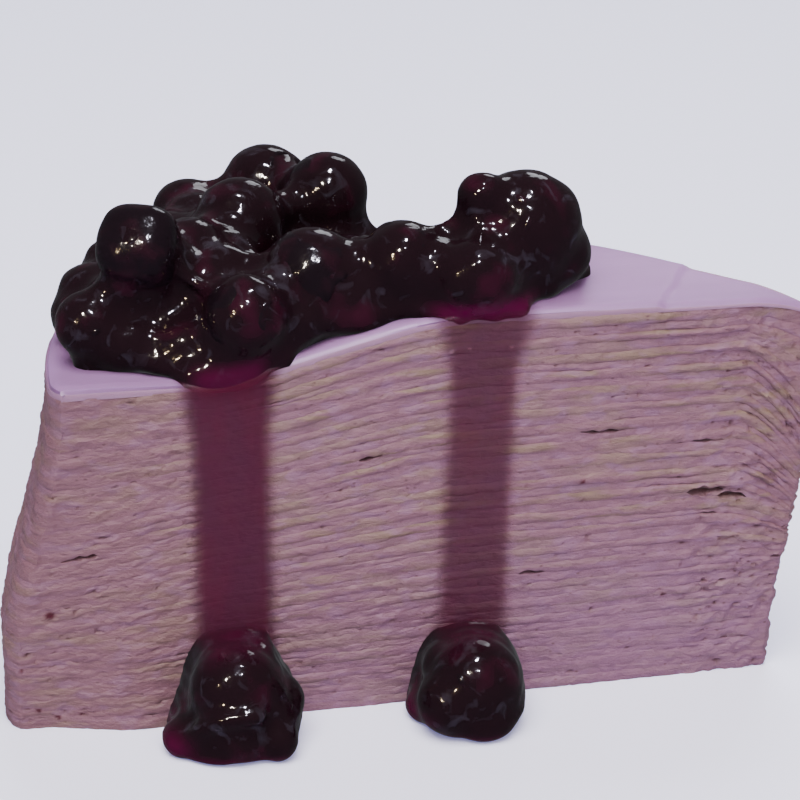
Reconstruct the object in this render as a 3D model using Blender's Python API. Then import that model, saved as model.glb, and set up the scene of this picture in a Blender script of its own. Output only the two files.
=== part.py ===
# A wedge cut from a round mille crepe cake: thin crepes with whipped cream between them,
# a smooth coat of cream on top, and berries in dark syrup that runs down one cut face.
#
# Metres, +Z up. The front cut face lies along X and faces -Y, with the tip towards +X and the
# cake's round rim towards -X. The origin is under the middle of the wedge, on its flat underside.

from math import cos, pi, radians, sin, sqrt

import bmesh
import bpy
import numpy as np
from mathutils import Vector
from mathutils.bvhtree import BVHTree

MM = 0.001

# The wedge in plan
CAKE_RADIUS = 100 * MM
WEDGE_ANGLE = radians(45)
TIP_BLUNT = 2.5 * MM          # from the apex of the two cuts to the blunt end of the slice
TIP_END = (60 * MM, -25 * MM)  # blunt end of the slice on the front cut, at the underside
CORNER_ROUNDING = 1.5 * MM    # how far the two rim corners are drawn in
RIM_BULGE_FOOT = 7.4 * MM     # the rim swells outwards at the foot ...
RIM_BULGE_TOP = 0.8 * MM      # ... and less at the top,
BULGE_LEVEL = 0.3             # drawing in from this share of the height
RIM_SET_BACK = 3.6 * MM       # the foot of the front cut curves back at the rim,
SET_BACK_FROM = 0.84          # from this share of the way out
TIP_OVERHANG = 3.2 * MM       # the upper layers lean out over the tip,
OVERHANG_LEVEL = 0.7          # fully from this share of the height,
TIP_DROOP = 3.0 * MM          # and sink there
TIP_DROOP_REACH = 14 * MM

# The wedge in height
HEIGHT_AT_RIM = 48.2 * MM
HEIGHT_INSIDE = 54.8 * MM
SHOULDER_RADII = (46 * MM, 84 * MM)  # the top sinks from the inner radius to the outer one
FAR_RISE = 1.8 * MM           # and stands a little higher away from the front cut
FAR_RISE_REACH = 22 * MM
COAT_THICKNESS = 1.2 * MM
CREPE_COUNT = 22
CREPE_TO_CREAM = 1.35         # thickness of a crepe against that of a layer of cream
WAVE_HEIGHT = 0.5 * MM        # the layers rise and sink a little, more so half way up
WAVE_LENGTH = 41 * MM
WAVE_SHIFT = 1.3              # wavelengths by which the top's waves run ahead of the foot's
GAP = 0.3 * MM                # clearance between neighbouring pieces

# Stations of the layers' mesh: from tip to rim, and from the front cut to the far cut
STATIONS_OUT = (0, 0.13, 0.42, 0.55, 0.68, 0.82, 1)
STATIONS_ROUND = (0, 0.07, 0.5, 0.93, 1)

# Syrup pool on the top
POOL_CENTRE = (-4 * MM, -7 * MM)
POOL_MARGIN = 2.2 * MM        # the pool runs this far past the berries,
POOL_SPREAD = 9 * MM          # and fills the hollows between them from this far aside
# How far short of the front cut the pool stops, at places along it (mm): it reaches the edge
# where the two runs leave it, and bares the coat between them and beside them
POOL_FRONT_PLACES = (-40, -34, -28, -23, -19, -15, -11, -6, 1, 5, 9, 12, 15, 21, 25, 31, 38)
POOL_FRONT_SHORT = (15, 8, 6.5, 4.5, 1.5, 0.6, 0.8, 3.5, 6.4, 7.4, 6.2, 4.5, 2.5, 2.5, 5.5, 8.5, 12)
POOL_DEPTH = 0.6 * MM         # a thin sheet, because the berries sink through the sauce
POOL_SIDES = 40
POOL_RINGS = (0.3, 0.55, 0.78, 0.93, 1)
MOUND_CENTRE = (-4.5 * MM, 10 * MM)
MOUND_HEIGHT = 5.6 * MM       # thick sauce heaped under the rear berries
MOUND_REACH = 26 * MM

# The two runs of syrup down the front cut: middle, width, and the lump at the foot
FILM_THICKNESS = 1.1 * MM
RUN_LIFT = 0.5 * MM           # clearance under a run where it crosses the folds of the coat
RUN_START = 5 * MM            # each run leaves the pool this far behind the front cut
RUN_FLARE = 0.25              # and is this much wider there,
RUN_FLARE_DROP = 8 * MM       # narrowing over this drop
RUN_BEVEL = 0.1               # share of its half width by which each side slants in
RUN_SHARES = (0.06, 0.35, 0.8)  # its sections, as shares of the cut's height
FACE_LEAN = 0.2 * MM          # the front cut bows out this much at most
FOOT_RISES = (0, 18, 38, 60, 90)  # degrees up the quarter egg at each ring of its points
FOOT_SQUARENESS = 0.8         # below one the egg is fuller than a true one
RUNS = (
    {"middle": -15.1 * MM, "width": 10.6 * MM, "lean": 0.5 * MM,
     "foot_middle": -16.2 * MM, "foot_half": 9.4 * MM, "foot_out": 13.0 * MM, "foot_up": 14.2 * MM},
    {"middle": 17.8 * MM, "width": 10.0 * MM, "lean": -1.2 * MM,
     "foot_middle": 15.4 * MM, "foot_half": 7.1 * MM, "foot_out": 12.4 * MM, "foot_up": 14.0 * MM},
)

# Berries on the top: where each is let down, and its diameter (mm). They are spooned on in
# this order, and then push one another aside until they all have room.
TOP_BERRIES = (
    (-31.6, -15.8, 54, 9.2),
    (-22.8, -14.9, 54, 8.8),
    (-12.9, -23.4, 56, 10.8),
    (-3.2, -16.4, 59, 12.8),
    (9.1, -19.0, 61, 11.0),
    (17.4, -23.4, 60, 8.8),
    (25.8, -17.2, 64, 15.4),
    (-26.0, 4.4, 54, 9.2),
    (-25.0, -15.6, 64, 10.8),
    (-9.1, 1.4, 62, 12.4),
    (-13.0, 17.4, 59, 10.4),
    (-2.9, 18.0, 61, 12.8),
    (3.9, 8.0, 61, 11.8),
)
OVER_THE_EDGE = 3.4 * MM      # how far a berry may stand out past the front cut
SETTLING_STEPS = 120
SETTLING_FALL = 0.2 * MM
SETTLING_PUSHES = 6           # rounds of pushing apart in each step of the fall
SETTLING_HOLD = 0.4           # share of its drift that a berry gives back at each step

# Berries at the foot of the runs: place in plan, height of the middle, diameter (mm)
FOOT_BERRIES = (
    (-16.4, -32.2, 8.2, 12.0),
    (15.4, -33.6, 6.4, 12.2),
)

BERRY_SQUASH = 0.06           # the largest dent in a berry, against its radius
BERRY_DENTS = 4
BERRY_SEGMENTS = (10, 7)


def smooth_step(low, high, value):
    share = min(max((value - low) / (high - low), 0), 1)
    return share * share * (3 - 2 * share)


def plain_material(name, colour, roughness):
    material = bpy.data.materials.new(name)
    material.use_nodes = True
    shader = material.node_tree.nodes["Principled BSDF"]
    shader.inputs["Base Color"].default_value = (*colour, 1)
    shader.inputs["Roughness"].default_value = roughness
    return material


def add_object(name, mesh, material):
    mesh.materials.append(material)
    made = bpy.data.objects.new(name, mesh)
    bpy.context.scene.collection.objects.link(made)
    return made


def mesh_from(name, build):
    """Makes a mesh from a function that fills a bmesh, with its faces pointing out."""
    shape = bmesh.new()
    build(shape)
    bmesh.ops.recalc_face_normals(shape, faces=shape.faces)
    bmesh.ops.triangulate(shape, faces=shape.faces)
    mesh = bpy.data.meshes.new(name)
    shape.to_mesh(mesh)
    shape.free()
    return mesh


# ---- the cake ----

def wedge_point(out, around, level):
    """Plan position for a share of the way out from the tip, around from the front cut, and up."""
    apex_x = TIP_END[0] + TIP_BLUNT
    drawn_in = smooth_step(BULGE_LEVEL, 1, level)
    bulge = RIM_BULGE_FOOT + (RIM_BULGE_TOP - RIM_BULGE_FOOT) * drawn_in
    to_corner = min(around, 1 - around) / STATIONS_ROUND[1]
    corner = CORNER_ROUNDING * max(0, 1 - to_corner) ** 2
    rim = CAKE_RADIUS + bulge - corner
    radius = TIP_BLUNT + out * (rim - TIP_BLUNT)
    angle = around * WEDGE_ANGLE
    lean = TIP_OVERHANG * smooth_step(0, OVERHANG_LEVEL, level) * (1 - out) ** 5
    set_back = RIM_SET_BACK * (1 - level) * smooth_step(SET_BACK_FROM, 1, out) * (1 - around)
    return apex_x - radius * cos(angle) + lean, TIP_END[1] + radius * sin(angle) + set_back


def cake_height(x, y):
    """Height of the finished top over a point of the plan, before the tip's droop."""
    radius = sqrt((TIP_END[0] + TIP_BLUNT - x) ** 2 + (y - TIP_END[1]) ** 2)
    inside = HEIGHT_INSIDE + FAR_RISE * smooth_step(0, FAR_RISE_REACH, y - TIP_END[1])
    shoulder = smooth_step(SHOULDER_RADII[0], SHOULDER_RADII[1], radius)
    return inside + (HEIGHT_AT_RIM - inside) * shoulder


def layer_height(x, y, share, gaps_below, out):
    """Height of a surface in the stack: its share of the solid layers, plus the gaps under it."""
    solid = cake_height(x, y) - COAT_THICKNESS - GAP * (2 * CREPE_COUNT - 1)
    turns = x / WAVE_LENGTH + WAVE_SHIFT * share
    wave = WAVE_HEIGHT * 4 * share * (1 - share) * sin(2 * pi * turns)
    near_tip = max(0, 1 - out * CAKE_RADIUS / TIP_DROOP_REACH)
    return share * solid + gaps_below * GAP + wave - TIP_DROOP * share ** 2 * near_tip ** 2


def close_slab(shape, bottom, top):
    """Faces of a slab between two grids of vertices, with a wall round its edge."""
    rows = len(bottom)
    columns = len(bottom[0])
    for grid in (bottom, top):
        for i in range(rows - 1):
            for j in range(columns - 1):
                shape.faces.new((grid[i][j], grid[i + 1][j], grid[i + 1][j + 1]))
                shape.faces.new((grid[i][j], grid[i + 1][j + 1], grid[i][j + 1]))
    edge = [(i, 0) for i in range(rows)]
    edge += [(rows - 1, j) for j in range(1, columns)]
    edge += [(i, columns - 1) for i in range(rows - 2, -1, -1)]
    edge += [(0, j) for j in range(columns - 2, 0, -1)]
    for here, there in zip(edge, edge[1:] + edge[:1]):
        shape.faces.new((bottom[here[0]][here[1]], bottom[there[0]][there[1]],
                         top[there[0]][there[1]], top[here[0]][here[1]]))


def slab_mesh(name, low, high, level):
    """A wedge-shaped layer between two height functions of x, y and the share out from the tip."""

    def build(shape):
        grids = []
        for surface in (low, high):
            grid = []
            for out in STATIONS_OUT:
                row = []
                for around in STATIONS_ROUND:
                    x, y = wedge_point(out, around, level)
                    row.append(shape.verts.new((x, y, surface(x, y, out))))
                grid.append(row)
            grids.append(grid)
        close_slab(shape, *grids)

    return mesh_from(name, build)


def make_layers():
    """Crepes and creams in turn, from a crepe at the foot to a crepe under the coat."""
    crepe = plain_material("crepe", (0.47, 0.33, 0.29), 0.6)
    cream = plain_material("lavender cream", (0.42, 0.27, 0.33), 0.55)
    weights = []
    for index in range(2 * CREPE_COUNT - 1):
        weights.append(CREPE_TO_CREAM if index % 2 == 0 else 1.0)
    total = sum(weights)
    below = 0
    for index, weight in enumerate(weights):
        start = below / total
        end = (below + weight) / total
        below += weight
        kind, material = ("crepe", crepe) if index % 2 == 0 else ("cream", cream)
        name = f"{kind}_{index // 2 + 1:02d}"

        def low(x, y, out, share=start, gaps=index):
            return layer_height(x, y, share, gaps, out)

        def high(x, y, out, share=end, gaps=index):
            return layer_height(x, y, share, gaps, out)

        add_object(name, slab_mesh(name, low, high, (start + end) / 2), material)


def make_coat():
    """The smooth coat of cream that closes the top."""
    gaps = 2 * CREPE_COUNT - 1

    def low(x, y, out):
        return layer_height(x, y, 1, gaps, out)

    def high(x, y, out):
        return layer_height(x, y, 1, gaps, out) + COAT_THICKNESS

    coat = plain_material("lavender coat", (0.46, 0.32, 0.47), 0.45)
    return add_object("top_coat", slab_mesh("top_coat", low, high, 1), coat)


# ---- berries ----

def berry_mesh(name, radius, seed):
    """A ball a little flattened in places, never larger than its radius."""
    chance = np.random.default_rng(seed)
    hollows = chance.normal(size=(BERRY_DENTS, 3))
    hollows /= np.linalg.norm(hollows, axis=1)[:, None]

    def build(shape):
        across, up = BERRY_SEGMENTS
        bmesh.ops.create_uvsphere(shape, u_segments=across, v_segments=up, radius=radius)
        for vert in shape.verts:
            nearest = max(float(np.dot(hollow, vert.co.normalized())) for hollow in hollows)
            vert.co *= 1 - BERRY_SQUASH * smooth_step(0.7, 1, nearest)

    mesh = mesh_from(name, build)
    mesh.shade_smooth()
    return mesh


def pool_surface(x, y, coat_top):
    """Top of the thick sauce that the berries lie on."""
    away = ((x - MOUND_CENTRE[0]) ** 2 + (y - MOUND_CENTRE[1]) ** 2) / MOUND_REACH ** 2
    mound = MOUND_HEIGHT * max(0, 1 - away) ** 2
    return coat_top(x, y) + GAP + POOL_DEPTH + mound


def floor_under(place, radius, surface):
    """Lowest height at which a ball's middle clears the sauce under it."""
    lowest = surface(place[0], place[1]) + radius
    for ring in (0.45, 0.8):
        for step in range(8):
            angle = step * pi / 4
            here = surface(place[0] + ring * radius * cos(angle),
                           place[1] + ring * radius * sin(angle))
            lowest = max(lowest, here + radius * sqrt(1 - ring * ring))
    return lowest + GAP


def push_apart(places, radii):
    """Moves each pair of balls that are too close away from each other."""
    for first in range(len(radii)):
        for second in range(first + 1, len(radii)):
            between = places[second] - places[first]
            distance = np.linalg.norm(between)
            short = radii[first] + radii[second] + GAP - distance
            if short > 0:
                places[first] -= between / distance * short / 2
                places[second] += between / distance * short / 2


def settle(places, radii, surface):
    """Lets the heap of balls sink until every one rests on the sauce or on others."""
    wanted = places.copy()
    for _ in range(SETTLING_STEPS):
        places[:, 2] -= SETTLING_FALL
        places[:, :2] += SETTLING_HOLD * (wanted - places)[:, :2]
        for _ in range(SETTLING_PUSHES):
            push_apart(places, radii)
            for place, radius in zip(places, radii):
                place[2] = max(place[2], floor_under(place, radius, surface))
                place[1] = max(place[1], TIP_END[1] + radius - OVER_THE_EDGE)
    for _ in range(SETTLING_STEPS):
        push_apart(places, radii)


def make_berries(surface):
    """Heaps the berries on the cake and lays two at the foot, and returns where each lies."""
    skin = plain_material("glazed berry", (0.016, 0.005, 0.010), 0.12)
    heap = np.array(TOP_BERRIES) * MM
    places = heap[:, :3].copy()
    radii = heap[:, 3] / 2
    settle(places, radii, surface)
    lying = [(Vector(place), float(radius)) for place, radius in zip(places, radii)]
    for x, y, z, diameter in FOOT_BERRIES:
        lying.append((Vector((x * MM, y * MM, z * MM)), diameter / 2 * MM))
    for index, (place, radius) in enumerate(lying):
        name = f"berry_{index + 1:02d}"
        berry = add_object(name, berry_mesh(name, radius, index), skin)
        berry.location = place
        berry.rotation_euler = (0.9 * index, 0.5 * index, 1.7 * index)
    return lying


# ---- syrup ----

def pool_front(x):
    """Where the pool stops short of the front cut."""
    return TIP_END[1] + float(np.interp(x / MM, POOL_FRONT_PLACES, POOL_FRONT_SHORT)) * MM


def pool_reach(angle, berries):
    """How far the pool runs from its centre: past the berries, and short of the cake's edge."""
    towards = Vector((cos(angle), sin(angle)))
    centre = Vector(POOL_CENTRE)
    reach = 8 * MM
    for place, radius in berries:
        along = (place.xy - centre).dot(towards)
        aside = (place.xy - centre - along * towards).length
        wide = radius + POOL_SPREAD
        if aside < wide:
            past = sqrt(wide * wide - aside * aside) - POOL_SPREAD + POOL_MARGIN
            reach = max(reach, along + past)
    while centre.y + reach * towards.y < pool_front(centre.x + reach * towards.x):
        reach -= 0.2 * MM
    apex = Vector((TIP_END[0] + TIP_BLUNT, TIP_END[1]))
    while (centre + reach * towards - apex).length > CAKE_RADIUS - POOL_MARGIN:
        reach -= 0.5 * MM
    return reach


def pool_envelope(berries, surface):
    """The pool's outline and upper surface, closed by a flat base far below them."""
    angles = [2 * pi * step / POOL_SIDES for step in range(POOL_SIDES)]
    reaches = [pool_reach(angle, berries) for angle in angles]

    def build(shape):
        rings = []
        for share in POOL_RINGS:
            ring = []
            for angle, reach in zip(angles, reaches):
                x = POOL_CENTRE[0] + share * reach * cos(angle)
                y = POOL_CENTRE[1] + share * reach * sin(angle)
                ring.append(shape.verts.new((x, y, surface(x, y))))
            rings.append(ring)
        rings.append([shape.verts.new((*vert.co.xy, HEIGHT_AT_RIM / 2)) for vert in rings[-1]])
        middle = shape.verts.new((*POOL_CENTRE, surface(*POOL_CENTRE)))
        for index in range(POOL_SIDES):
            after = (index + 1) % POOL_SIDES
            shape.faces.new((middle, rings[0][index], rings[0][after]))
            for inner, outer in zip(rings, rings[1:]):
                shape.faces.new((inner[index], outer[index], outer[after], inner[after]))
        shape.faces.new(rings[-1])

    return mesh_from("pool envelope", build)


def make_pool(berries, surface, material):
    """The sheet of syrup under the berries: a slab parallel to the coat, cut to its envelope."""
    gaps = 2 * CREPE_COUNT - 1

    def low(x, y, out):
        return layer_height(x, y, 1, gaps, out) + COAT_THICKNESS + GAP

    def high(x, y, out):
        return low(x, y, out) + 2 * MOUND_HEIGHT

    pool = add_object("syrup", slab_mesh("syrup", low, high, 1), material)
    combine(pool, cutter("pool envelope", pool_envelope(berries, surface)), "INTERSECT")
    return pool


def run_mesh(run, coat_top):
    """A run of syrup from the pool, over the edge of the coat and down the front cut."""
    face = TIP_END[1]
    lip = coat_top(run["middle"], face + FACE_LEAN)

    def section(depth, drop, thickness, share):
        """Four corners of the run: on the top while depth > 0, and down the cut as drop grows."""
        corners = []
        for side in (-1, 1):
            widen = 1 + RUN_FLARE * (1 - min(drop / RUN_FLARE_DROP, 1))
            x = run["middle"] + run["lean"] * share + side * widen * run["width"] / 2
            top = coat_top(x, max(face + FACE_LEAN, depth)) + RUN_LIFT
            skin_x = x + RUN_BEVEL * (run["middle"] - x)
            if drop == 0:
                back = Vector((x, depth, top))
                skin = Vector((skin_x, depth, top + thickness))
            else:
                z = top - drop
                back = Vector((x, face - GAP, z))
                skin = Vector((skin_x, face - GAP - thickness, z))
            corners.append((back, skin))
        (left_back, left_skin), (right_back, right_skin) = corners
        return left_back, left_skin, right_skin, right_back

    def build(shape):
        sections = [section(face + RUN_START, 0, POOL_DEPTH, 0)]
        corner = list(section(face - GAP, 0, POOL_DEPTH, 0))
        for index in (1, 2):
            corner[index].y -= 0.8 * FILM_THICKNESS
        sections.append(corner)
        for share in RUN_SHARES:
            sections.append(section(face, share * lip, FILM_THICKNESS, share))
        rings = [[shape.verts.new(point) for point in ring] for ring in sections]
        for ring, beyond in zip(rings, rings[1:]):
            for index in range(4):
                after = (index + 1) % 4
                shape.faces.new((ring[index], ring[after], beyond[after], beyond[index]))
        shape.faces.new(rings[0])
        shape.faces.new(rings[-1])

    return mesh_from("run", build)


def foot_mesh(run):
    """The lump of syrup at the foot of a run: a quarter of an egg against the cut and the plate."""
    face = TIP_END[1] - FACE_LEAN - GAP

    def build(shape):
        for up in FOOT_RISES:
            level = cos(radians(up)) ** FOOT_SQUARENESS
            for around in range(0, 181, 20):
                x = run["foot_middle"] + run["foot_half"] * level * cos(radians(around))
                y = face - run["foot_out"] * level * sin(radians(around)) ** FOOT_SQUARENESS
                z = run["foot_up"] * sin(radians(up))
                middle = run["middle"] + run["lean"]
                x += (middle - run["foot_middle"]) * (z / run["foot_up"]) ** 2
                shape.verts.new((x, y, z))
        bmesh.ops.remove_doubles(shape, verts=shape.verts, dist=0.05 * MM)
        hull = bmesh.ops.convex_hull(shape, input=shape.verts)
        spare = {item for item in hull["geom_interior"] + hull["geom_unused"]
                 if isinstance(item, bmesh.types.BMVert)}
        bmesh.ops.delete(shape, geom=list(spare), context="VERTS")

    return mesh_from("foot", build)


def cutter(name, mesh):
    """A hidden body that a Boolean joins to the syrup or takes from it."""
    made = bpy.data.objects.new(name, mesh)
    bpy.context.scene.collection.objects.link(made)
    made.hide_render = True
    made.display_type = "WIRE"
    return made


def combine(target, other, operation):
    change = target.modifiers.new(other.name, "BOOLEAN")
    change.operation = operation
    change.solver = "EXACT"
    change.object = other


def make_syrup(berries, surface, coat_top):
    """Pool, runs and feet as one body, hollowed where the two lower berries lie in it."""
    material = plain_material("berry syrup", (0.055, 0.008, 0.022), 0.1)
    top_berries = berries[:len(TOP_BERRIES)]
    syrup = make_pool(top_berries, surface, material)
    for index, run in enumerate(RUNS):
        combine(syrup, cutter(f"run cutter {index}", run_mesh(run, coat_top)), "UNION")
        combine(syrup, cutter(f"foot cutter {index}", foot_mesh(run)), "UNION")
    for index, (place, radius) in enumerate(berries[len(TOP_BERRIES):]):
        def build(shape, size=radius + 2 * GAP):
            bmesh.ops.create_icosphere(shape, subdivisions=2, radius=size)
        hollow = cutter(f"hollow cutter {index}", mesh_from("hollow", build))
        hollow.location = place
        combine(syrup, hollow, "DIFFERENCE")


def main():
    """Clears the scene and builds every piece of the slice."""
    for old in list(bpy.data.objects):
        bpy.data.objects.remove(old, do_unlink=True)
    make_layers()
    coat = make_coat()
    tree = BVHTree.FromPolygons([tuple(vert.co) for vert in coat.data.vertices],
                                [tuple(face.vertices) for face in coat.data.polygons])

    def coat_top(x, y):
        hit = tree.ray_cast(Vector((x, y, 1)), Vector((0, 0, -1)))[0]
        return hit.z if hit else HEIGHT_AT_RIM

    def surface(x, y):
        return pool_surface(x, y, coat_top)

    berries = make_berries(surface)
    make_syrup(berries, surface, coat_top)


main()
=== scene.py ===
from math import cos, pi, radians, sin

import bpy
import numpy as np
from mathutils import Matrix, Vector


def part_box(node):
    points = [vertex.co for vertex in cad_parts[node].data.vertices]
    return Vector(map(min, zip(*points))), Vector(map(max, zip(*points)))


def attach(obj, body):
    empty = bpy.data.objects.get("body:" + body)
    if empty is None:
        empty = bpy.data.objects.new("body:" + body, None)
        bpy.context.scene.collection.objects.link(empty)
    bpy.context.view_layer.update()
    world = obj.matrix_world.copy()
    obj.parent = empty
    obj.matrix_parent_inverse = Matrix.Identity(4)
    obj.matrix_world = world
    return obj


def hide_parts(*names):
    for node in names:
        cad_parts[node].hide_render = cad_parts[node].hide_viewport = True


mm = 0.001
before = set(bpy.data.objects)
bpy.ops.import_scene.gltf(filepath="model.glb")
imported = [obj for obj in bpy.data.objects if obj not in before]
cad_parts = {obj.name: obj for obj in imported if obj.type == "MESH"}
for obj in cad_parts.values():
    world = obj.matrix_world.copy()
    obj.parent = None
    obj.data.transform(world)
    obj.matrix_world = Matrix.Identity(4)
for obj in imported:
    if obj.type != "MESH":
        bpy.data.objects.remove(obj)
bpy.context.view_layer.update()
print("frame loaded:", len(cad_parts), "nodes")

# ---- small helpers ----


def smoothStep(low, high, value):
    share = np.clip((value - low) / (high - low), 0, 1)
    return share * share * (3 - 2 * share)


def softNoise(points, size, seed=0):  # smooth random values from -1 to 1, one per point, on a lattice of that size
    cells = np.asarray(points, float) / size + 31.7 * seed
    corner = np.floor(cells).astype(np.int64)
    part = cells - corner
    part = part * part * (3 - 2 * part)
    total = np.zeros(len(cells))
    for index in range(8):
        offset = np.array([index & 1, index >> 1 & 1, index >> 2 & 1])
        weight = np.prod(np.where(offset == 1, part, 1 - part), axis=1)
        key = ((corner + offset) * np.array([73856093, 19349663, 83492791])).sum(1) + seed * 7919
        key = (key ^ (key >> 13)) * 1274126177 & 0x7FFFFFFF
        key = (key ^ (key >> 16)) * 668265263 & 0x7FFFFFFF
        total += weight * (key / 0x3FFFFFFF - 1)
    return total


def deselectAll():
    if bpy.context.object and bpy.context.object.mode != "OBJECT":
        bpy.ops.object.mode_set(mode="OBJECT")
    bpy.ops.object.select_all(action="DESELECT")


def newest(name):  # names the object that the last operator made
    made = bpy.context.object
    made.name = name
    made.data.name = name
    return made


def pointsOf(piece):
    flat = np.zeros(3 * len(piece.data.vertices))
    piece.data.vertices.foreach_get("co", flat)
    return flat.reshape(-1, 3)


def movePoints(piece, points):
    piece.data.vertices.foreach_set("co", np.asarray(points, float).ravel())
    piece.data.update()


def storeValue(piece, name, values):  # one number per point, for the materials
    layer = piece.data.attributes.new(name, "FLOAT", "POINT")
    layer.data.foreach_set("value", np.asarray(values, np.float32))


def applyModifier(piece, kind, **settings):
    change = piece.modifiers.new(kind, kind)
    for key, value in settings.items():
        setattr(change, key, value)
    with bpy.context.temp_override(object=piece, active_object=piece, selected_objects=[piece]):
        bpy.ops.object.modifier_apply(modifier=change.name)


def duplicateOf(piece, name):  # a copy with its own mesh
    deselectAll()
    piece.select_set(True)
    bpy.context.view_layer.objects.active = piece
    bpy.ops.object.duplicate()
    return newest(name)


def smoothShading(piece, angle=50):
    deselectAll()
    piece.select_set(True)
    bpy.context.view_layer.objects.active = piece
    bpy.ops.object.shade_smooth_by_angle(angle=radians(angle))


def joinInto(first, others):
    deselectAll()
    for other in others:
        other.select_set(True)
    first.select_set(True)
    bpy.context.view_layer.objects.active = first
    bpy.ops.object.join()
    return first


def freezePlace(piece):  # the object goes to the origin and keeps its place in its mesh
    piece.data.transform(piece.matrix_basis)
    piece.matrix_basis = Matrix.Identity(4)


def standFor(piece, material, slot, *nodes):
    piece.data.materials.clear()
    piece.data.materials.append(material)
    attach(piece, "root")
    if nodes:
        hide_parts(*nodes)


# ---- materials ----


def linearColour(hexCode, alpha=1.0):
    parts = [int(hexCode[at:at + 2], 16) / 255 for at in (1, 3, 5)]
    parts = [part / 12.92 if part <= 0.04045 else ((part + 0.055) / 1.055) ** 2.4 for part in parts]
    return (*parts, alpha)


def perMm(size):  # texture scale for a pattern whose cells are that many millimetres wide
    return 1000 / size


def addNode(material, kind, settings=None, links=None):  # settings: attributes or sockets; links: socket from socket
    node = material.node_tree.nodes.new(kind)
    for key, value in (settings or {}).items():
        if isinstance(key, str) and hasattr(node, key):
            setattr(node, key, value)
        else:
            node.inputs[key].default_value = value
    for key, source in (links or {}).items():
        material.node_tree.links.new(source, node.inputs[key])
    return node


def newMaterial(name):
    material = bpy.data.materials.new(name)
    material.use_nodes = True
    material.node_tree.nodes.remove(material.node_tree.nodes["Principled BSDF"])
    return material


def finishMaterial(material, shader):
    output = material.node_tree.nodes["Material Output"]
    material.node_tree.links.new(shader.outputs[0], output.inputs["Surface"])
    return material


def addRamp(material, source, stops, interpolation="LINEAR"):
    node = addNode(material, "ShaderNodeValToRGB", links={0: source})
    node.color_ramp.interpolation = interpolation
    while len(node.color_ramp.elements) < len(stops):
        node.color_ramp.elements.new(0.5)
    for element, (place, colour) in zip(node.color_ramp.elements, stops):
        element.position = place
        element.color = linearColour(colour) if isinstance(colour, str) else (colour, colour, colour, 1)
    return node.outputs[0]


def mixColours(material, share, first, second, blend="MIX"):
    node = addNode(material, "ShaderNodeMix", {"data_type": "RGBA", "blend_type": blend})
    for socket, value in ((node.inputs[0], share), (node.inputs[6], first), (node.inputs[7], second)):
        if isinstance(value, bpy.types.NodeSocket):
            material.node_tree.links.new(value, socket)
        else:
            socket.default_value = linearColour(value) if isinstance(value, str) else value
    return node.outputs[2]


def objectPlace(material, stretch=(1, 1, 1)):  # Object coordinates, drawn out along the layers if asked
    place = addNode(material, "ShaderNodeTexCoord").outputs["Object"]
    if stretch == (1, 1, 1):
        return place
    return addNode(material, "ShaderNodeMapping", {"Scale": [1 / part for part in stretch]},
                   {"Vector": place}).outputs[0]


def grain(material, place, size, detail=2.0, roughness=0.5):
    return addNode(material, "ShaderNodeTexNoise",
                   {"Scale": perMm(size), "Detail": detail, "Roughness": roughness},
                   {"Vector": place}).outputs[0]


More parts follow.
